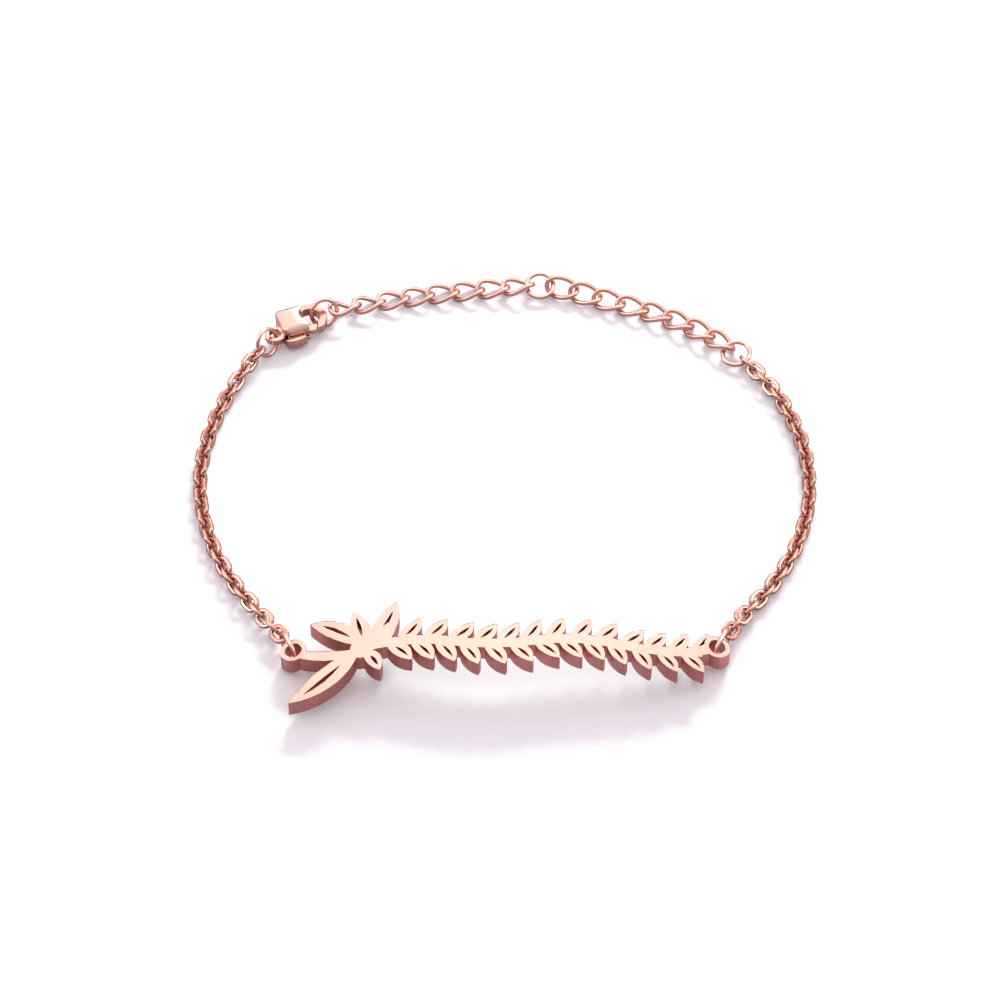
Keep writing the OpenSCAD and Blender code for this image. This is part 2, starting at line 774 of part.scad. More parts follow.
// Two large circles that cross: a section domed above and below
module lens(middle, r, half_height) {
    intersection() {
        translate([middle, half_height - r])
            circle(r = r, $fn = 120);
        translate([middle, r - half_height])
            circle(r = r, $fn = 120);
    }
}

// The part of the plan between two directions, by way of a third
module sector(from_turn, middle_turn, to_turn) {
    polygon([[0, 0], far_out * toward(from_turn), far_out * toward(middle_turn),
             far_out * toward(to_turn)]);
}

// Room for the lever between the two cheeks, open on the near side
module lever_slot() {
    translate([0, 0, -slot_h / 2])
        linear_extrude(height = slot_h)
            union() {
                translate(pivot_at)
                    circle(r = boss_r + 2 * clear);
                translate([web_left - 2 * clear, lobe_near - over])
                    square([pivot_at[0] + boss_r + 3 * clear - web_left,
                            pivot_at[1] - lobe_near + over]);
                intersection() {
                    translate(pivot_at)
                        circle(r = gate_swing_r, $fn = 96);
                    translate(hook_at)
                        sector(PIVOT_TURN - SLOT_TURN, GATE_MIDDLE, HOOK_TIP);
                }
            }
}

// The spring lever: a gate that closes the hook, a boss on the rivet and a thumb pad
module clasp_lever() {
    color(rose)
        in_clasp()
            difference() {
                union() {
                    linear_extrude(height = lever_t, center = true)
                        lever_outline();
                    thumb_pad();
                }
                translate([pivot_at[0], pivot_at[1], 0])
                    cylinder(r = rivet_r + lever_fit, h = lever_t + over, center = true, $fn = 32);
            }
}

module lever_outline() {
    translate(pivot_at)
        circle(r = boss_r);
    intersection() {
        translate(hook_at)
            intersection() {
                difference() {
                    circle(r = hook_out_r - gate_inset);
                    circle(r = hook_in_r + gate_inset);
                }
                sector(PIVOT_TURN, GATE_MIDDLE, HOOK_TIP + SLOT_TURN);
            }
        translate(pivot_at)
            circle(r = gate_swing_r - clear, $fn = 96);
    }
    translate([web_left, pad_at[1] + pad_w / 2])
        square([web_len, pivot_at[1] - clear - rivet_r - pad_at[1] - pad_w / 2]);
}

module thumb_pad() {
    translate([pad_at[0], pad_at[1], -pad_h / 2 - pad_drop])
        linear_extrude(height = pad_h)
            intersection() {
                square([pad_len, pad_w]);
                translate([pad_len / 2, pad_bow_r])
                    circle(r = pad_bow_r, $fn = 96);
            }
}

module clasp_rivet() {
    color(rose)
        in_clasp()
            translate([pivot_at[0], pivot_at[1], 0])
                cylinder(r = rivet_r, h = 2 * rivet_top, center = true, $fn = 32);
}

nameplate();
eyelet_ring_left();
eyelet_ring_right();
chain_left();
chain_right();
clasp_ring();
clasp_body();
clasp_lever();
clasp_rivet();
extender_first_ring();
extender_chain_near();
extender_middle_ring();
extender_chain_far();
extender_end_ring();
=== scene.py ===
"""A nameplate bracelet, dressed: a rose-gold plated pierced plate on two fine cable chains,
closed by a lobster clasp on a curb extender. It lies as one loop on a pale table.

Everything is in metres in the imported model's frame. Fields of the classes that end in _mm
are millimetres, because the pieces are built in millimetres and shrunk when they are done.
"""

import logging
import math
from dataclasses import dataclass, field
from enum import Enum

import bmesh
import bpy
import numpy as np
from mathutils import Matrix, Vector


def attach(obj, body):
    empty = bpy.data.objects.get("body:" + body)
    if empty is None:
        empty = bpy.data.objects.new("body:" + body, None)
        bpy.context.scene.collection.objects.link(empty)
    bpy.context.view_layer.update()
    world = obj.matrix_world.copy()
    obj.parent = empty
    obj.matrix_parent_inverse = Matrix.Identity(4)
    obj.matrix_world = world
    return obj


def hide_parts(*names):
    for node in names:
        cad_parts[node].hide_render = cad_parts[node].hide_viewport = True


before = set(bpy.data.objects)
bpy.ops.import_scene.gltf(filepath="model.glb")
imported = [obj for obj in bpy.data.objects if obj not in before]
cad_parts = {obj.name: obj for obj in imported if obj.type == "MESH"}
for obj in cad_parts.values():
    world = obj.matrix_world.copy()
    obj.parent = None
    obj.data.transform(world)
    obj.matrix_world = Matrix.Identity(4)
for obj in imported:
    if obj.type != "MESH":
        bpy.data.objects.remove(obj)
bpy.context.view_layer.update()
LOG = logging.getLogger("bracelet")
MM = 0.001
GRIP = 1e-4
FLAT_TURN = math.radians(0.2)
WIRE_CREASE = 60.0
RUBBED = "rubbed_edge"


class Body(Enum):
    """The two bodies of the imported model."""

    BRACELET = "bracelet"
    LEVER = "lever"


class Slot(Enum):
    """The record's material slots."""

    PLATE = "plate_metal"
    CHAIN = "chain_metal"
    CLASP = "clasp_metal"


def placed(name: str, data: bpy.types.ID) -> bpy.types.Object:
    """Makes an object at the origin and puts it in the scene.

    Args:
        name: The object's name.
        data: Its mesh, light or camera.

    Returns:
        The object.
    """
    made = bpy.data.objects.new(name, data)
    bpy.context.scene.collection.objects.link(made)
    return made


def only(kind: type, geometry: list) -> list:
    """The members of an operator's result that are of one kind."""
    return [member for member in geometry if isinstance(member, kind)]


def circle_edges(made: dict) -> list[bmesh.types.BMEdge]:
    """The edges of a circle that an operator has just made, each once."""
    return list(dict.fromkeys(edge for vert in made["verts"] for edge in vert.link_edges))


class NodeSheet:
    """Adds shader nodes to one tree and joins them."""

    def __init__(self, tree: bpy.types.NodeTree) -> None:
        """Keeps the tree."""
        self.tree = tree

    def add(self, kind: str, inputs: dict | None = None, **settings: object) -> bpy.types.Node:
        """Makes a node.

        Args:
            kind: The node's Blender class name.
            inputs: Socket name or index to a value, or to an output socket to join.
            settings: Properties of the node.

        Returns:
            The node.
        """
        node = self.tree.nodes.new(kind)
        for name, value in settings.items():
            setattr(node, name, value)
        for key, value in (inputs or {}).items():
            if isinstance(value, bpy.types.NodeSocket):
                self.tree.links.new(value, node.inputs[key])
            else:
                node.inputs[key].default_value = value
        return node

    def join(self, start: bpy.types.NodeSocket, end: bpy.types.NodeSocket) -> None:
        """Joins an output to an input."""
        self.tree.links.new(start, end)

    def remap(self, value: bpy.types.NodeSocket, low: float, high: float,
              to_low: float = 0.0, to_high: float = 1.0) -> bpy.types.NodeSocket:
        """Maps a range of a value smoothly onto another range.

        Args:
            value: The output to map.
            low: The value that gives to_low.
            high: The value that gives to_high.
            to_low: Result at and below low.
            to_high: Result at and above high.

        Returns:
            The mapped output.
        """
        node = self.add("ShaderNodeMapRange", {"Value": value, "From Min": low, "From Max": high,
                                               "To Min": to_low, "To Max": to_high},
                        interpolation_type="SMOOTHSTEP")
        return node.outputs["Result"]

    def math(self, operation: str, first: object, second: object) -> bpy.types.NodeSocket:
        """Combines two values by one operation.

        Args:
            operation: Blender's name for it, such as ADD.
            first: A number or an output.
            second: A number or an output.

        Returns:
            The result's output.
        """
        node = self.add("ShaderNodeMath", {0: first, 1: second}, operation=operation)
        return node.outputs[0]

    def weigh(self, first: bpy.types.NodeSocket, share: float,
              second: bpy.types.NodeSocket) -> bpy.types.NodeSocket:
        """Adds two values by their shares.

        Args:
            first: One output.
            share: Its share, from 0 to 1.
            second: The other output, which has the rest.

        Returns:
            The sum's output.
        """
        return self.math("ADD", self.math("MULTIPLY", first, share),
                         self.math("MULTIPLY", second, 1 - share))

    def mix(self, factor: bpy.types.NodeSocket, first: object, second: object,
            **settings: object) -> bpy.types.NodeSocket:
        """Mixes two colours.

        Args:
            factor: How much of the second shows.
            first: A colour or an output.
            second: A colour or an output.
            settings: Properties of the node.

        Returns:
            The mixed colour's output.
        """
        node = self.add("ShaderNodeMix", {"Factor": factor}, data_type="RGBA", **settings)
        colours = [socket for socket in node.inputs if socket.type == "RGBA"]
        for socket, value in zip(colours, (first, second)):
            if isinstance(value, bpy.types.NodeSocket):
                self.join(value, socket)
            else:
                socket.default_value = (*value, 1.0)
        return next(socket for socket in node.outputs if socket.type == "RGBA")


class SharedEffects:
    """The node groups of the finishes, each built once."""

    CLOUD_RANGE = (0.3, 0.7)
    SCRATCH_RANGE = (0.6, 0.72)
    SCRATCH_TILT = (0.3, 0.2)
    SCRATCH_TURNS = (0.5, -0.9)
    SCRATCH_STRETCH = (1.0, 14.0, 6.0)
    SCRATCH_SHARE = 0.35
    FINE_STREAK_SHARE = 0.7
    BROAD_STREAK_SIZE = 0.22
    STREAK_RANGE = (0.36, 0.64)
    DRIFT_RANGE = (0.35, 0.65)
    WEAR_RANGE = (0.42, 0.6)
    WEAR_SCALE = 1400.0

    def __init__(self) -> None:
        """Builds the groups."""
        self.polish_marks = self._polish_marks()
        self.brushed_grain = self._brushed_grain()
        self.plating_tone = self._plating_tone()

    def _group(self, name: str, inputs: dict[str, tuple[str, object]],
               outputs: dict[str, str]) -> tuple[bpy.types.NodeTree, NodeSheet,
                                                 bpy.types.Node, bpy.types.Node]:
        """Starts a node group with named sockets.

        Args:
            name: The group's name.
            inputs: Socket name to its type and default.
            outputs: Socket name to its type.

        Returns:
            The group, its sheet, and its input and output nodes.
        """
        tree = bpy.data.node_groups.new(name, "ShaderNodeTree")
        for label, (kind, value) in inputs.items():
            socket = tree.interface.new_socket(label, in_out="INPUT", socket_type=kind)
            if value is not None:
                socket.default_value = value
        for label, kind in outputs.items():
            tree.interface.new_socket(label, in_out="OUTPUT", socket_type=kind)
        sheet = NodeSheet(tree)
        return tree, sheet, sheet.add("NodeGroupInput"), sheet.add("NodeGroupOutput")

    def _polish_marks(self) -> bpy.types.NodeTree:
        """Draws cloudy buffing and hair-fine scratches that cross in two directions.

        Returns:
            The group.
        """
        tree, sheet, given, out = self._group(
            "Polish marks",
            {"Vector": ("NodeSocketVector", None), "Cloud Scale": ("NodeSocketFloat", 500.0),
             "Scratch Scale": ("NodeSocketFloat", 900.0)},
            {"Mask": "NodeSocketFloat", "Height": "NodeSocketFloat"})
        cloud = sheet.add("ShaderNodeTexNoise", {"Vector": given.outputs["Vector"],
                                                 "Scale": given.outputs["Cloud Scale"],
                                                 "Detail": 4.0, "Roughness": 0.55})
        total = sheet.remap(cloud.outputs[0], *self.CLOUD_RANGE)
        lines = None
        for turn in self.SCRATCH_TURNS:
            turned = sheet.add("ShaderNodeMapping", {"Vector": given.outputs["Vector"],
                                                     "Rotation": (*self.SCRATCH_TILT, turn),
                                                     "Scale": self.SCRATCH_STRETCH})
            hair = sheet.add("ShaderNodeTexNoise", {"Vector": turned.outputs[0],
                                                    "Scale": given.outputs["Scratch Scale"],
                                                    "Detail": 2.0, "Roughness": 0.4})
            fine = sheet.remap(hair.outputs[0], *self.SCRATCH_RANGE)
            lines = fine if lines is None else sheet.math("MAXIMUM", lines, fine)
        sheet.join(sheet.weigh(lines, self.SCRATCH_SHARE, total), out.inputs["Mask"])
        sheet.join(sheet.math("SUBTRACT", sheet.math("MULTIPLY", total, 0.5), lines),
                   out.inputs["Height"])
        return tree

    def _brushed_grain(self) -> bpy.types.NodeTree:
        """Draws streaks that run up a wall: fine along the wall and long in its height.

        Returns:
            The group.
        """
        tree, sheet, given, out = self._group(
            "Brushed grain",
            {"Vector": ("NodeSocketVector", None), "Scale": ("NodeSocketFloat", 2500.0),
             "Stretch": ("NodeSocketFloat", 0.05)},
            {"Mask": "NodeSocketFloat", "Height": "NodeSocketFloat"})
        squeeze = sheet.add("ShaderNodeCombineXYZ", {"X": 1.0, "Y": 1.0,
                                                     "Z": given.outputs["Stretch"]})
        drawn = sheet.add("ShaderNodeVectorMath", {0: given.outputs["Vector"],
                                                   1: squeeze.outputs[0]}, operation="MULTIPLY")
        fine = sheet.add("ShaderNodeTexNoise", {"Vector": drawn.outputs[0],
                                                "Scale": given.outputs["Scale"],
                                                "Detail": 3.0, "Roughness": 0.6})
        broad_scale = sheet.math("MULTIPLY", given.outputs["Scale"], self.BROAD_STREAK_SIZE)
        broad = sheet.add("ShaderNodeTexNoise", {"Vector": drawn.outputs[0],
                                                 "Scale": broad_scale, "Detail": 2.0})
        streaks = sheet.weigh(fine.outputs[0], self.FINE_STREAK_SHARE, broad.outputs[0])
        sheet.join(sheet.remap(streaks, *self.STREAK_RANGE), out.inputs["Mask"])
        sheet.join(streaks, out.inputs["Height"])
        return tree

    def _plating_tone(self) -> bpy.types.NodeTree:
        """Drifts the plating's colour slowly, and thins it along rubbed edges.

        Returns:
            The group.
        """
        tree, sheet, given, out = self._group(
            "Plating tone",
            {"Vector": ("NodeSocketVector", None), "Scale": ("NodeSocketFloat", 90.0),
             "Edge": ("NodeSocketFloat", 0.0)},
            {"Drift": "NodeSocketFloat", "Wear": "NodeSocketFloat"})
        slow = sheet.add("ShaderNodeTexNoise", {"Vector": given.outputs["Vector"],
                                                "Scale": given.outputs["Scale"],
                                                "Detail": 2.0})
        sheet.join(sheet.remap(slow.outputs[0], *self.DRIFT_RANGE), out.inputs["Drift"])
        patchy = sheet.add("ShaderNodeTexNoise", {"Vector": given.outputs["Vector"],
                                                  "Scale": self.WEAR_SCALE, "Detail": 3.0})
        worn = sheet.remap(patchy.outputs[0], *self.WEAR_RANGE)
        sheet.join(sheet.math("MULTIPLY", worn, given.outputs["Edge"]), out.inputs["Wear"])
        return tree


class Texture(Enum):
    """Which marks a finish shows."""

    POLISHED = "polished"
    BRUSHED = "brushed"


@dataclass(frozen=True)
class PlatedMetal:
    """Rose-gold plated steel of one tone, gloss and kind of marks."""

    name: str
    tone: tuple[float, float, float]
    warm_tone: tuple[float, float, float]
    worn_tone: tuple[float, float, float]
    roughness: tuple[float, float]
    texture: Texture = Texture.POLISHED
    marks_scale: float = 500.0
    bump_depth: float = 0.5e-6
    drift_share: float = 0.6

    def material(self, effects: SharedEffects) -> bpy.types.Material:
        """Builds the finish.

        Args:
            effects: The shared node groups.

        Returns:
            The material.
        """
        made = bpy.data.materials.new(self.name)
        made.use_nodes = True
        made.diffuse_color = (*self.tone, 1.0)
        sheet = NodeSheet(made.node_tree)
        shader = made.node_tree.nodes["Principled BSDF"]
        place = sheet.add("ShaderNodeTexCoord").outputs["Object"]
        if self.texture is Texture.BRUSHED:
            marks = sheet.add("ShaderNodeGroup", node_tree=effects.brushed_grain)
            marks.inputs["Scale"].default_value = self.marks_scale
        else:
            marks = sheet.add("ShaderNodeGroup", node_tree=effects.polish_marks)
            marks.inputs["Cloud Scale"].default_value = self.marks_scale
        sheet.join(place, marks.inputs["Vector"])
        edge = sheet.add("ShaderNodeAttribute", attribute_name=RUBBED)
        tone = sheet.add("ShaderNodeGroup", node_tree=effects.plating_tone)
        sheet.join(place, tone.inputs["Vector"])
        sheet.join(edge.outputs["Fac"], tone.inputs["Edge"])
        shade = sheet.weigh(tone.outputs["Drift"], self.drift_share, marks.outputs["Mask"])
        plating = sheet.mix(shade, self.tone, self.warm_tone)
        sheet.join(sheet.mix(tone.outputs["Wear"], plating, self.worn_tone),
                   shader.inputs["Base Color"])
        sheet.join(sheet.remap(marks.outputs["Mask"], 0.0, 1.0, *self.roughness),
                   shader.inputs["Roughness"])
        bump = sheet.add("ShaderNodeBump", {"Strength": 1.0, "Distance": self.bump_depth,
                                            "Height": marks.outputs["Height"]})
        sheet.join(bump.outputs[0], shader.inputs["Normal"])
        shader.inputs["Metallic"].default_value = 1.0
        return made


@dataclass(frozen=True)
class Palette:
    """The finishes of this bracelet."""

    plate_face: PlatedMetal = PlatedMetal(
        "Plate face, polished", tone=(0.85, 0.555, 0.455), warm_tone=(0.87, 0.585, 0.48),
        worn_tone=(0.9, 0.6, 0.5), roughness=(0.16, 0.24), marks_scale=260.0,
        bump_depth=1.0e-6)
    # The walls' darker, redder tone is partly their brushed cut finish and partly painted shade:
    # the face's plating, darkened where the walls stand upright.
    plate_wall_brushed_and_shaded: PlatedMetal = PlatedMetal(
        "Plate wall, brushed, darkened as painted shade", tone=(0.78, 0.34, 0.29), warm_tone=(0.98, 0.5, 0.45),
        worn_tone=(0.85, 0.52, 0.44), roughness=(0.28, 0.42), texture=Texture.BRUSHED,
        marks_scale=5000.0, bump_depth=4e-6)
    chain: PlatedMetal = PlatedMetal(
        "Cable link, bright polished", tone=(0.68, 0.345, 0.275), warm_tone=(0.74, 0.39, 0.31),
        worn_tone=(0.84, 0.55, 0.47), roughness=(0.08, 0.16))
    curb: PlatedMetal = PlatedMetal(
        "Curb link, soft polished", tone=(0.87, 0.48, 0.39), warm_tone=(0.9, 0.52, 0.425),
        worn_tone=(0.9, 0.6, 0.5), roughness=(0.2, 0.28), marks_scale=400.0)
    ring: PlatedMetal = PlatedMetal(
        "Ring wire, polished", tone=(0.88, 0.52, 0.43), warm_tone=(0.91, 0.56, 0.465),
        worn_tone=(0.92, 0.62, 0.52), roughness=(0.18, 0.26))
    clasp: PlatedMetal = PlatedMetal(
        "Clasp, soft polished", tone=(0.84, 0.48, 0.39), warm_tone=(0.87, 0.52, 0.425),
        worn_tone=(0.88, 0.6, 0.5), roughness=(0.15, 0.21), marks_scale=300.0,
        bump_depth=0.7e-6)


class Workshop:
    """Shared steps: merged copies of nodes, loose solids, rounded edges and finished objects."""

    def __init__(self) -> None:
        """Builds the shared effects and starts the list of materials."""
        self.effects = SharedEffects()
        self.materials: dict[str, bpy.types.Material] = {}

    def material(self, finish: PlatedMetal) -> bpy.types.Material:
        """Gives the material of a finish, and builds it the first time.

        Args:
            finish: The finish.

        Returns:
            The material.
        """
        if finish.name not in self.materials:
            self.materials[finish.name] = finish.material(self.effects)
        return self.materials[finish.name]

    def merged_copy(self, node: str) -> bmesh.types.BMesh:
        """Copies a node's mesh with its doubles merged.

        Args:
            node: The node's name.

        Returns:
            The copy, in millimetres.
        """
        bm = bmesh.new()
        bm.from_mesh(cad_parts[node].data)
        bm.faces.layers.float.new(RUBBED)
        bmesh.ops.scale(bm, vec=Vector((1 / MM,) * 3), verts=bm.verts)
        bmesh.ops.remove_doubles(bm, verts=bm.verts, dist=GRIP)
        return bm

    def blank(self) -> bmesh.types.BMesh:
        """Starts an empty mesh that can mark its rubbed faces.

        Returns:
            The mesh.
        """
        bm = bmesh.new()
        bm.faces.layers.float.new(RUBBED)
        return bm

    def loose_solids(self, bm: bmesh.types.BMesh) -> list[list[bmesh.types.BMFace]]:
        """Splits a mesh into its loose solids.

        Args:
            bm: The mesh.

        Returns:
            The faces of each solid.
        """
        bm.faces.ensure_lookup_table()
        seen: set[int] = set()
        solids = []
        for start in bm.faces:
            if start.index in seen:
                continue
            seen.add(start.index)
            group, front = [], [start]
            while front:
                face = front.pop()
                group.append(face)
                for edge in face.edges:
                    for other in edge.link_faces:
                        if other.index not in seen:
                            seen.add(other.index)
                            front.append(other)
            solids.append(group)
        return solids

    def placement(self, faces: list[bmesh.types.BMFace]) -> tuple[Matrix, Vector]:
        """Finds how a solid lies from the spread of its surface.

        Args:
            faces: The solid's triangles.

        Returns:
            A matrix with the long, middle and thin axes and the centre, and half the size
            along each axis.
        """
        corners = np.array([[v.co for v in face.verts] for face in faces])
        area = np.array([face.calc_area() for face in faces])
        middles = corners.mean(axis=1)
        centre = (middles * area[:, None]).sum(axis=0) / area.sum()
        corners = corners - centre
        middles = middles - centre
        # A triangle spreads as its three corners do, and nine times as its middle does
        spread = np.einsum("n,nki,nkj->ij", area, corners, corners)
        spread += 9 * np.einsum("n,ni,nj->ij", area, middles, middles)
        axes = np.linalg.eigh(spread)[1][:, ::-1]
        if np.linalg.det(axes) < 0:
            axes[:, 2] *= -1
        half = np.abs(corners.reshape(-1, 3) @ axes).max(axis=0)
        matrix = Matrix(axes.tolist()).to_4x4()
        matrix.translation = Vector(centre.tolist())
        return matrix, Vector(half.tolist())

    def node_placement(self, node: str) -> tuple[Matrix, Vector]:
        """Finds how the one solid of a node lies.

        Args:
            node: The node's name.

        Returns:
            The matrix and the half sizes, as placement gives them, in millimetres.
        """
        rough = self.merged_copy(node)
        place, half = self.placement(list(rough.faces))
        rough.free()
        return place, half

    def join_flats(self, bm: bmesh.types.BMesh) -> None:
        """Joins the triangles of each flat stretch into one face."""
        bmesh.ops.dissolve_limit(bm, angle_limit=FLAT_TURN, verts=bm.verts, edges=bm.edges)

    def round_edges(self, bm: bmesh.types.BMesh, radius_mm: float, least_turn: float = 35.0,
                    segments: int = 2) -> None:
        """Rounds the sharp edges of a merged copy and marks the rounding as rubbed.

        Args:
            bm: The mesh, in millimetres.
            radius_mm: Size of the rounding.
            least_turn: Edges that turn more than this are rounded, in degrees.
            segments: Faces across the rounding.
        """
        self.join_flats(bm)
        sharp = [e for e in bm.edges if len(e.link_faces) == 2
                 and e.calc_face_angle(0.0) > math.radians(least_turn)]
        done = bmesh.ops.bevel(bm, geom=sharp, offset=radius_mm, offset_type="OFFSET",
                               segments=segments, profile=0.5, affect="EDGES", material=-1,
                               clamp_overlap=False)
        self.mark_rubbed(bm, done["faces"])

    def sink_rims(self, bm: bmesh.types.BMesh, radius_mm: float, least_up: float) -> None:
        """Rounds the rims of the faces that look up and down, by two narrow borders.

        The faces inside the borders sink a little with them.

        Args:
            bm: The mesh, in millimetres.
            radius_mm: Radius of the rounding.
            least_up: Faces whose normals rise or fall more than this are rimmed.
        """
        self.join_flats(bm)
        bmesh.ops.remove_doubles(bm, verts=bm.verts, dist=radius_mm / 5)
        lean = 1 - math.cos(math.radians(45))
        rims = []
        for way in (1, -1):
            flat = [f for f in bm.faces if f.normal.z * way > least_up]
            for width, sunk in ((lean, 1.0), (1 - lean, lean)):
                inside = set(flat)
                border = {v for f in flat for e in f.edges
                          if not inside.issuperset(e.link_faces) for v in e.verts}
                rims += bmesh.ops.inset_region(bm, faces=flat, thickness=width * radius_mm,
                                               depth=0.0, use_boundary=True,
                                               use_even_offset=False)["faces"]
                bmesh.ops.translate(bm, vec=Vector((0, 0, -way * sunk * radius_mm)),
                                    verts=list(border))
        self.mark_rubbed(bm, rims)

    def mark_rubbed(self, bm: bmesh.types.BMesh, faces: list[bmesh.types.BMFace]) -> None:
        """Marks faces as a rubbed edge, with a crease where they end.

        Args:
            bm: The mesh.
            faces: The faces of the rounding.
        """
        layer = bm.faces.layers.float[RUBBED]
        rounded = set(faces)
        for face in faces:
            face[layer] = 1.0
        for edge in bm.edges:
            sides = [face in rounded for face in edge.link_faces]
            if len(sides) == 2 and sides[0] != sides[1]:
                edge.smooth = False

    def finish_piece(self, name: str, bm: bmesh.types.BMesh, nodes: tuple[str, ...], body: Body,
                     slot: Slot, finishes: tuple[PlatedMetal, ...],
                     crease: float = 40.0) -> bpy.types.Object:
        """Turns a mesh in millimetres into a piece that stands for its nodes.

        Args:
            name: The piece's name.
            bm: The mesh; it is freed.
            nodes: The nodes that it stands for.
            body: The body that it rides on.
            slot: The record's slot of its finish; not used.
            finishes: Its finishes, by material index.
            crease: Edges that turn more than this stay crisp, in degrees.

        Returns:
            The object.
        """
        for edge in bm.edges:
            if len(edge.link_faces) == 2 and edge.calc_face_angle(0.0) > math.radians(crease):
                edge.smooth = False
        for face in bm.faces:
            face.smooth = True
        bmesh.ops.scale(bm, vec=Vector((MM,) * 3), verts=bm.verts)
        mesh = bpy.data.meshes.new(name)
        bm.to_mesh(mesh)
        bm.free()
        for finish in finishes:
            mesh.materials.append(self.material(finish))
        piece = placed(name, mesh)
        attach(piece, body.value)
        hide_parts(*nodes)
        LOG.info("%s: %d faces", name, len(mesh.polygons))
        return piece

    def softened(self, bm: bmesh.types.BMesh, voxel_mm: float, passes: int,
                 factor: float = 0.5) -> bmesh.types.BMesh:
        """Recasts a solid in fine even cells and rubs its edges down.

        Args:
            bm: The mesh, in millimetres; it is freed.
            voxel_mm: Size of the cells.
            passes: How often it is smoothed.
            factor: Strength of each smoothing.

        Returns:
            The softened mesh, in millimetres.
        """
        mesh = bpy.data.meshes.new("recast")
        bm.to_mesh(mesh)
        bm.free()
        holder = placed("recast", mesh)
        cells = holder.modifiers.new("cells", "REMESH")
        cells.mode = "VOXEL"
        cells.voxel_size = voxel_mm
        rub = holder.modifiers.new("rub", "SMOOTH")
        rub.iterations = passes
        rub.factor = factor
        bpy.context.view_layer.update()
        shaped = bpy.data.meshes.new_from_object(
            holder.evaluated_get(bpy.context.evaluated_depsgraph_get()))
        soft = bmesh.new()
        soft.from_mesh(shaped)
        bpy.data.objects.remove(holder)
        bpy.data.meshes.remove(mesh)
        bpy.data.meshes.remove(shaped)
        return soft

    def strung(self, link: bmesh.types.BMesh, places: list[Matrix]) -> bmesh.types.BMesh:
        """Puts a copy of a link at each place.

        Args:
            link: The link, about its own middle; it is freed.
            places: Where each copy goes.

        Returns:
            The mesh of all the copies.
        """
        pattern = bpy.data.meshes.new("link")
        link.to_mesh(pattern)
        link.free()
        chain = bmesh.new()
        for place in places:
            copy = pattern.copy()
            copy.transform(place)
            chain.from_mesh(copy)
            bpy.data.meshes.remove(copy)
        bpy.data.meshes.remove(pattern)
        return chain


@dataclass
class Nameplate:
    """The pierced, arched plate: polished above and below, with brushed upright walls whose
    darker tone is partly painted shade.
    """

    shop: Workshop
    palette: Palette
    edge_mm: float = 0.07
    face_turn: float = 0.5

    def build(self) -> bpy.types.Object:
        """Rounds the plate's rims and gives faces and walls their own finishes; the walls'
        darker tone is partly painted shade.

        Returns:
            The piece.
        """
        bm = self.shop.merged_copy("nameplate")
        self.shop.sink_rims(bm, self.edge_mm, self.face_turn)
        # Faces that look up or down take the face finish; upright walls take the darker wall
        # finish, which is partly painted shade.
        for face in bm.faces:
            face.material_index = 0 if abs(face.normal.z) > self.face_turn else 1
        return self.shop.finish_piece("nameplate_plate", bm, ("nameplate",), Body.BRACELET,
                                      Slot.PLATE, (self.palette.plate_face,
                                                   self.palette.plate_wall_brushed_and_shaded))


@dataclass
class LinkChain:
    """A chain whose node holds loose rough links, each of which a fine one stands for."""

    shop: Workshop
    finish: PlatedMetal
    node: str

    def link(self) -> bmesh.types.BMesh:
        """One fine link about its own middle, in millimetres, long in X and thin in Z."""
        raise NotImplementedError

    def build(self) -> bpy.types.Object:
        """Sets a fine link on each link of the node.

        Returns:
            The piece.
        """
        rough = self.shop.merged_copy(self.node)
        places = [self.shop.placement(solid)[0] for solid in self.shop.loose_solids(rough)]
        rough.free()
        chain = self.shop.strung(self.link(), places)
        return self.shop.finish_piece(f"{self.node}_links", chain, (self.node,), Body.BRACELET,
                                      Slot.CHAIN, (self.finish,), crease=WIRE_CREASE)


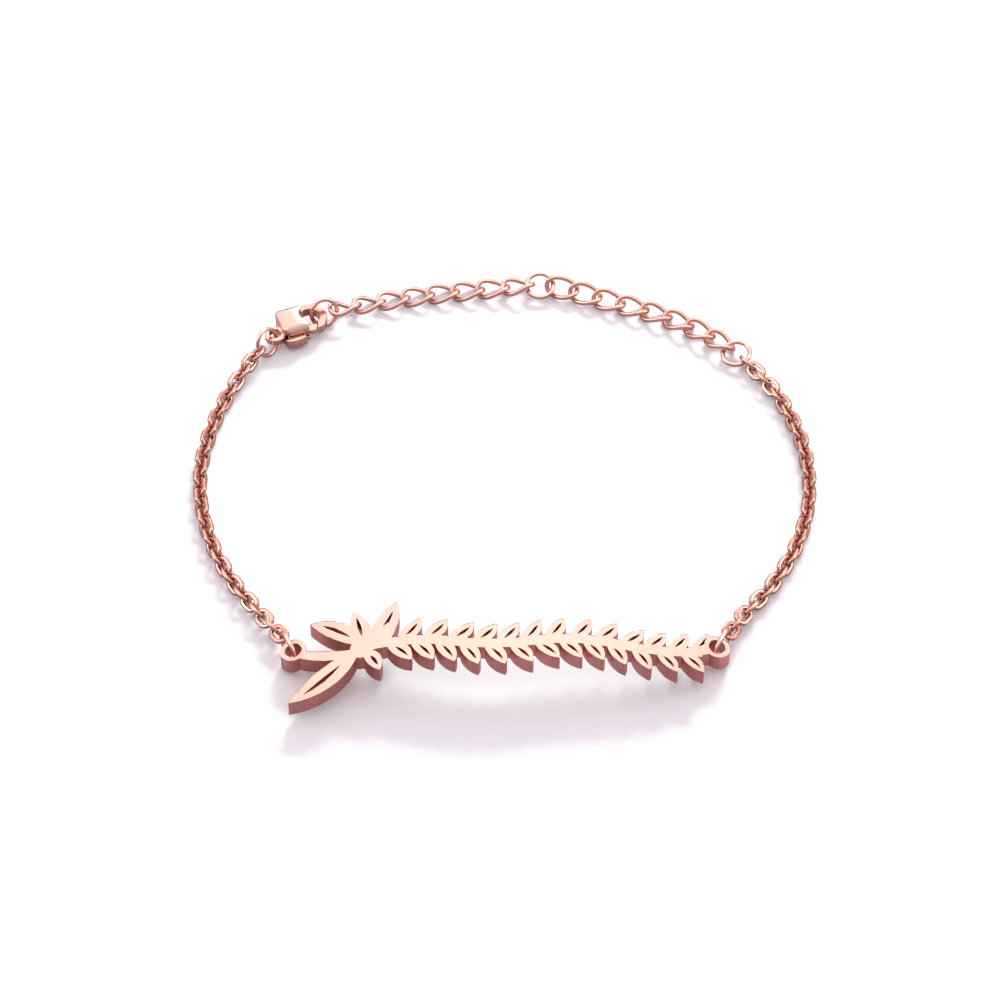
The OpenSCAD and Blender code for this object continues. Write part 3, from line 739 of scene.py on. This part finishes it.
@dataclass
class CableChain(LinkChain):
    """A chain of flat-wire links that interlock crosswise."""

    length_mm: float = 2.85
    width_mm: float = 2.05
    wire_width_mm: float = 0.54
    wire_thick_mm: float = 0.47
    bow_steps: int = 10
    corner_mm: float = 0.15

    def _section(self) -> bmesh.types.BMesh:
        """Makes the wire's rounded section, standing at the middle of one long side.

        Returns:
            The section, in millimetres.
        """
        bm = bmesh.new()
        bmesh.ops.create_grid(bm, x_segments=1, y_segments=1, size=0.5)
        bmesh.ops.scale(bm, vec=Vector((self.wire_width_mm, self.wire_thick_mm, 1)),
                        verts=bm.verts)
        bmesh.ops.bevel(bm, geom=bm.verts, offset=self.corner_mm, offset_type="OFFSET",
                        segments=2, profile=0.5, affect="VERTICES", material=-1)
        bmesh.ops.rotate(bm, matrix=Matrix.Rotation(math.radians(90), 3, "X"), verts=bm.verts)
        bmesh.ops.rotate(bm, matrix=Matrix.Rotation(math.radians(90), 3, "Z"), verts=bm.verts)
        bmesh.ops.translate(bm, vec=Vector((0, -(self.width_mm - self.wire_width_mm) / 2, 0)),
                            verts=bm.verts)
        return bm

    def link(self) -> bmesh.types.BMesh:
        """Makes one link: two straight sides and two half-round bows.

        Returns:
            The link about its own middle, in millimetres.
        """
        bm = self._section()
        bmesh.ops.delete(bm, geom=bm.faces[:], context="FACES_ONLY")
        straight = self.length_mm - self.width_mm
        front = bm.edges[:]
        for run in (straight / 2, -straight):
            out = bmesh.ops.extrude_edge_only(bm, edges=front)["geom"]
            moved = only(bmesh.types.BMVert, out)
            bmesh.ops.translate(bm, vec=Vector((run, 0, 0)), verts=moved)
            bow_at = math.copysign(straight / 2, run)
            out = bmesh.ops.spin(bm, geom=moved + only(bmesh.types.BMEdge, out),
                                 axis=Vector((0, 0, 1)), cent=Vector((bow_at, 0, 0)),
                                 dvec=Vector(), angle=math.pi, steps=self.bow_steps,
                                 use_merge=False)["geom_last"]
            front = only(bmesh.types.BMEdge, out)
        out = bmesh.ops.extrude_edge_only(bm, edges=front)["geom"]
        bmesh.ops.translate(bm, vec=Vector((straight / 2, 0, 0)),
                            verts=only(bmesh.types.BMVert, out))
        bmesh.ops.remove_doubles(bm, verts=bm.verts, dist=GRIP)
        bmesh.ops.recalc_face_normals(bm, faces=bm.faces)
        return bm


@dataclass
class CurbChain(LinkChain):
    """A chain of twisted round-wire links that lie flat."""

    half_length_mm: float = 1.95
    half_width_mm: float = 1.22
    twist_mm: float = 0.46
    wire_mm: float = 0.58
    loop_steps: int = 40
    wire_sides: int = 12

    def link(self) -> bmesh.types.BMesh:
        """Makes one twisted link of round wire.

        Returns:
            The link about its own middle, in millimetres.
        """
        bm = bmesh.new()
        loops = []
        for i in range(self.loop_steps):
            t = 2 * math.pi * i / self.loop_steps
            spot = Vector((self.half_length_mm * math.cos(t), self.half_width_mm * math.sin(t),
                           -self.twist_mm * math.sin(2 * t)))
            along = Vector((-self.half_length_mm * math.sin(t),
                            self.half_width_mm * math.cos(t),
                            -2 * self.twist_mm * math.cos(2 * t))).normalized()
            side = along.cross(Vector((0, 0, 1))).normalized()
            turn = Matrix((side, side.cross(along) * -1, along)).transposed().to_4x4()
            made = bmesh.ops.create_circle(bm, segments=self.wire_sides,
                                           radius=self.wire_mm / 2,
                                           matrix=Matrix.Translation(spot) @ turn)
            loops.append(circle_edges(made))
        for one, two in zip(loops, loops[1:] + loops[:1]):
            bmesh.ops.bridge_loops(bm, edges=one + two)
        bmesh.ops.recalc_face_normals(bm, faces=bm.faces)
        return bm


@dataclass
class JumpRing:
    """A ring bent from round wire, with the fine seam where its ends meet."""

    shop: Workshop
    finish: PlatedMetal
    node: str
    wire_mm: float
    seam_way: Vector = field(default_factory=lambda: Vector((0, 1, 0)))
    seam_mm: float = 0.035
    end_rounding: float = 0.05
    steps: int = 72
    sides: int = 20
    crease: float = 30.0

    def _bent(self, radius_mm: float) -> bmesh.types.BMesh:
        """Bends the round wire into a ring that ends in two rounded faces at its seam.

        Args:
            radius_mm: From the ring's middle to the middle of its wire.

        Returns:
            The ring about its own middle, flat in Z, in millimetres.
        """
        gap = self.seam_mm / radius_mm
        bm = self.shop.blank()
        start = (Matrix.Rotation(gap / 2, 4, "Z") @ Matrix.Translation((radius_mm, 0, 0))
                 @ Matrix.Rotation(math.radians(90), 4, "X"))
        made = bmesh.ops.create_circle(bm, cap_ends=False, segments=self.sides,
                                       radius=self.wire_mm / 2, matrix=start)
        rim = circle_edges(made)
        out = bmesh.ops.spin(bm, geom=made["verts"] + rim, axis=Vector((0, 0, 1)),
                             cent=Vector(), dvec=Vector(), angle=2 * math.pi - gap,
                             steps=self.steps, use_merge=False)["geom_last"]
        last = only(bmesh.types.BMEdge, out)
        bmesh.ops.edgeloop_fill(bm, edges=rim)
        bmesh.ops.edgeloop_fill(bm, edges=last)
        done = bmesh.ops.bevel(bm, geom=rim + last, offset=self.wire_mm * self.end_rounding,
                               offset_type="OFFSET", segments=2, profile=0.5,
                               affect="EDGES", material=-1)
        bmesh.ops.recalc_face_normals(bm, faces=bm.faces)
        self.shop.mark_rubbed(bm, done["faces"])
        return bm

    def build(self) -> bpy.types.Object:
        """Bends the wire where the node's ring lies, with the seam on the asked side.

        Returns:
            The piece.
        """
        place, half = self.shop.node_placement(self.node)
        up = place.col[2].to_3d()
        out = (self.seam_way - up * up.dot(self.seam_way)).normalized()
        turned = Matrix((out, up.cross(out), up)).transposed().to_4x4()
        turned.translation = place.translation
        bm = self._bent((half.x + half.y) / 2 - self.wire_mm / 2)
        bmesh.ops.transform(bm, matrix=turned, verts=bm.verts)
        return self.shop.finish_piece(f"{self.node}_wire", bm, (self.node,), Body.BRACELET,
                                      Slot.CHAIN, (self.finish,), crease=self.crease)


@dataclass
class OvalRing:
    """The upright oval ring through one of the plate's eyelets."""

    shop: Workshop
    finish: PlatedMetal
    node: str
    wire_mm: float = 0.5
    bow_steps: int = 20
    sides: int = 20

    def build(self) -> bpy.types.Object:
        """Bends round wire into an oval where the node's ring lies.

        Returns:
            The piece.
        """
        place, half = self.shop.node_placement(self.node)
        bow = half.y - self.wire_mm / 2
        straight = 2 * (half.x - half.y)
        bm = bmesh.new()
        made = bmesh.ops.create_circle(
            bm, cap_ends=False, segments=self.sides, radius=self.wire_mm / 2,
            matrix=Matrix.Translation((straight / 2, -bow, 0))
            @ Matrix.Rotation(math.radians(90), 4, "Y"))
        front = circle_edges(made)
        moved = made["verts"]
        for way in (1, -1):
            out = bmesh.ops.spin(bm, geom=moved + front, axis=Vector((0, 0, 1)),
                                 cent=Vector((way * straight / 2, 0, 0)), dvec=Vector(),
                                 angle=math.pi, steps=self.bow_steps,
                                 use_merge=False)["geom_last"]
            out = bmesh.ops.extrude_edge_only(bm, edges=only(bmesh.types.BMEdge, out))["geom"]
            front = only(bmesh.types.BMEdge, out)
            moved = only(bmesh.types.BMVert, out)
            bmesh.ops.translate(bm, vec=Vector((-way * straight, 0, 0)), verts=moved)
        bmesh.ops.remove_doubles(bm, verts=bm.verts, dist=GRIP)
        bmesh.ops.recalc_face_normals(bm, faces=bm.faces)
        bmesh.ops.transform(bm, matrix=place, verts=bm.verts)
        return self.shop.finish_piece(f"{self.node}_wire", bm, (self.node,), Body.BRACELET,
                                      Slot.CHAIN, (self.finish,), crease=WIRE_CREASE)


@dataclass
class LobsterClasp:
    """The cast clasp: body with bail and hook, spring lever, and the pin that it turns on."""

    shop: Workshop
    finish: PlatedMetal
    cell_mm: float = 0.045
    body_passes: int = 3
    lever_passes: int = 14
    pin_edge_mm: float = 0.08

    def build(self) -> list[bpy.types.Object]:
        """Softens the two castings and rounds the pin's ends.

        Returns:
            The body, the lever and the pin.
        """
        made = []
        for node, body, passes in (("clasp_body", Body.BRACELET, self.body_passes),
                                   ("clasp_lever", Body.LEVER, self.lever_passes)):
            soft = self.shop.softened(self.shop.merged_copy(node), self.cell_mm, passes)
            made.append(self.shop.finish_piece(f"{node}_casting", soft, (node,), body,
                                               Slot.CLASP, (self.finish,),
                                               crease=WIRE_CREASE))
        pin = self.shop.merged_copy("clasp_rivet")
        self.shop.round_edges(pin, self.pin_edge_mm)
        made.append(self.shop.finish_piece("clasp_rivet_pin", pin, ("clasp_rivet",),
                                           Body.BRACELET, Slot.CLASP, (self.finish,)))
        return made


class CardUse(Enum):
    """What a light card does: it lights the table, or it shines in the metal."""

    LIGHT = "light"
    SHINE = "shine"


@dataclass(frozen=True)
class LightCard:
    """One soft light card that faces the bracelet, in the way that aim points to it."""

    name: str
    aim: tuple[float, float, float]
    size: tuple[float, float]
    power: float
    use: CardUse
    colour: tuple[float, float, float] = (0.95, 0.98, 1.0)
    distance: float = 0.6

    def hang(self) -> None:
        """Puts the card in the scene, hidden from the camera."""
        light = bpy.data.lights.new(self.name, "AREA")
        light.shape = "RECTANGLE"
        light.size, light.size_y = self.size
        light.energy = self.power
        light.color = self.colour
        card = placed(self.name, light)
        away = Vector(self.aim).normalized()
        card.location = away * self.distance
        card.rotation_mode = "QUATERNION"
        card.rotation_quaternion = away.to_track_quat("Z", "Y")
        card.visible_camera = False
        card.visible_diffuse = self.use is CardUse.LIGHT
        card.visible_glossy = self.use is CardUse.SHINE


@dataclass
class Studio:
    """The pale table, the soft lights and the camera."""

    floor_size: float = 4.0
    floor_tones: tuple[tuple[float, float, float], ...] = (
        (0.86, 0.855, 0.865), (0.88, 0.875, 0.88))
    floor_cloud_scale: float = 40.0
    floor_roughness: float = 0.6
    floor_specular: float = 0.2
    look_at: Vector = field(default_factory=lambda: Vector((-0.000545, -0.001769, 0.0)))
    distance: float = 0.405
    elevation: float = 50.0
    lens: float = 122.4
    sensor: float = 36.0
    clip: tuple[float, float] = (0.01, 20.0)
    floor_shade_in_metal: tuple[float, float, float] = (0.42, 0.36, 0.38)
    table_room: tuple[tuple[float, tuple[float, float, float]], ...] = (
        (0.0, (1.0, 0.93, 0.99)), (0.4, (1.01, 0.94, 1.0)), (0.95, (1.02, 0.95, 1.01)))
    metal_room: tuple[tuple[float, tuple[float, float, float]], ...] = (
        (0.0, (0.5, 0.46, 0.46)), (0.4, (0.8, 0.77, 0.77)), (0.7, (1.17, 1.17, 1.2)),
        (0.95, (1.7, 1.68, 1.68)))
    camera_side: tuple[float, float] = (0.42, 1.1)
    camera_side_span: tuple[float, float] = (-0.75, 0.35)
    cards: tuple[LightCard, ...] = (
        LightCard("Back light", aim=(0.22, 0.83, 0.52), size=(0.26, 0.1), power=4.0,
                  use=CardUse.LIGHT, colour=(0.91, 1.0, 0.99)),
        LightCard("Back glint", aim=(0.06, 0.86, 0.52), size=(0.5, 0.2), power=0.7,
                  use=CardUse.SHINE),
        LightCard("Left strip", aim=(-0.85, 0.1, 0.5), size=(0.2, 0.4), power=0.6,
                  use=CardUse.SHINE),
        LightCard("Right strip", aim=(0.85, 0.1, 0.5), size=(0.2, 0.4), power=0.6,
                  use=CardUse.SHINE))

    def floor(self) -> None:
        """Lays the table, a white sheet with the faintest cloudiness, painted darker where the
        metal reflects it.
        """
        bm = bmesh.new()
        bmesh.ops.create_grid(bm, x_segments=8, y_segments=8, size=self.floor_size / 2)
        mesh = bpy.data.meshes.new("table_top")
        bm.to_mesh(mesh)
        bm.free()
        table = placed("table_top", mesh)
        white = bpy.data.materials.new("Table, white")
        white.use_nodes = True
        sheet = NodeSheet(white.node_tree)
        shader = white.node_tree.nodes["Principled BSDF"]
        cloud = sheet.add("ShaderNodeTexNoise",
                          {"Vector": sheet.add("ShaderNodeTexCoord").outputs["Object"],
                           "Scale": self.floor_cloud_scale, "Detail": 3.0})
        ramp = sheet.add("ShaderNodeValToRGB", {"Fac": cloud.outputs[0]})
        for element, tone in zip(ramp.color_ramp.elements, self.floor_tones):
            element.color = (*tone, 1.0)
        # Painted reflection shade: the table's colour is darkened only in the rays that the
        # metal reflects.
        in_metal = sheet.add("ShaderNodeLightPath").outputs["Is Glossy Ray"]
        sheet.join(sheet.mix(in_metal, ramp.outputs[0], self.floor_shade_in_metal,
                             blend_type="MULTIPLY"), shader.inputs["Base Color"])
        shader.inputs["Roughness"].default_value = self.floor_roughness
        shader.inputs["Specular IOR Level"].default_value = self.floor_specular
        mesh.materials.append(white)

    def sky(self) -> None:
        """Surrounds the table with an even room, and the metal with a bright-roofed one.

        The metal's room is dimmer on the side that the camera stands on.
        """
        world = bpy.data.worlds.new("Studio room")
        bpy.context.scene.world = world
        world.use_nodes = True
        sheet = NodeSheet(world.node_tree)
        back = world.node_tree.nodes["Background"]
        way = sheet.add("ShaderNodeSeparateXYZ",
                        {0: sheet.add("ShaderNodeTexCoord").outputs["Generated"]})
        rooms = []
        for stops in (self.table_room, self.metal_room):
            ramp = sheet.add("ShaderNodeValToRGB", {"Fac": way.outputs["Z"]})
            elements = ramp.color_ramp.elements
            for element, (height, colour) in zip(elements, (stops[0], stops[-1])):
                element.position, element.color = height, (*colour, 1.0)
            for height, colour in stops[1:-1]:
                elements.new(height).color = (*colour, 1.0)
            rooms.append(ramp.outputs[0])
        shaded = sheet.add("ShaderNodeVectorMath", {0: rooms[1]}, operation="SCALE")
        sheet.join(sheet.remap(way.outputs["Y"], *self.camera_side_span, *self.camera_side),
                   shaded.inputs["Scale"])
        in_metal = sheet.add("ShaderNodeLightPath").outputs["Is Glossy Ray"]
        sheet.join(sheet.mix(in_metal, rooms[0], shaded.outputs[0]), back.inputs["Color"])
        back.inputs["Strength"].default_value = 1.0

    def camera(self) -> None:
        """Stands the camera where the photograph was taken from."""
        data = bpy.data.cameras.new("Camera")
        data.lens = self.lens
        data.sensor_width = self.sensor
        data.clip_start, data.clip_end = self.clip
        eye = placed("Camera", data)
        lift = math.radians(self.elevation)
        eye.location = self.look_at + self.distance * Vector((0, -math.cos(lift),
                                                              math.sin(lift)))
        eye.rotation_euler = (math.radians(90) - lift, 0, 0)
        bpy.context.scene.camera = eye

    def build(self) -> None:
        """Sets up the whole studio."""
        self.camera()
        self.floor()
        self.sky()
        for card in self.cards:
            card.hang()
        view = bpy.context.scene.view_settings
        view.view_transform = "Standard"
        view.look = "None"


def main() -> None:
    """Builds the studio and every piece, and reports each."""
    logging.basicConfig(level=logging.INFO, format="%(name)s: %(message)s")
    Studio().build()
    shop, palette = Workshop(), Palette()
    Nameplate(shop, palette).build()
    for node in ("chain_left", "chain_right"):
        CableChain(shop, palette.chain, node).build()
    for node in ("extender_chain_near", "extender_chain_far"):
        CurbChain(shop, palette.curb, node).build()
    for node, wire in (("clasp_ring", 0.5), ("extender_first_ring", 0.55),
                       ("extender_middle_ring", 0.55), ("extender_end_ring", 0.55)):
        JumpRing(shop, palette.ring, node, wire).build()
    for node in ("eyelet_ring_left", "eyelet_ring_right"):
        OvalRing(shop, palette.ring, node).build()
    LobsterClasp(shop, palette.clasp).build()


if __name__ == "__main__":
    main()
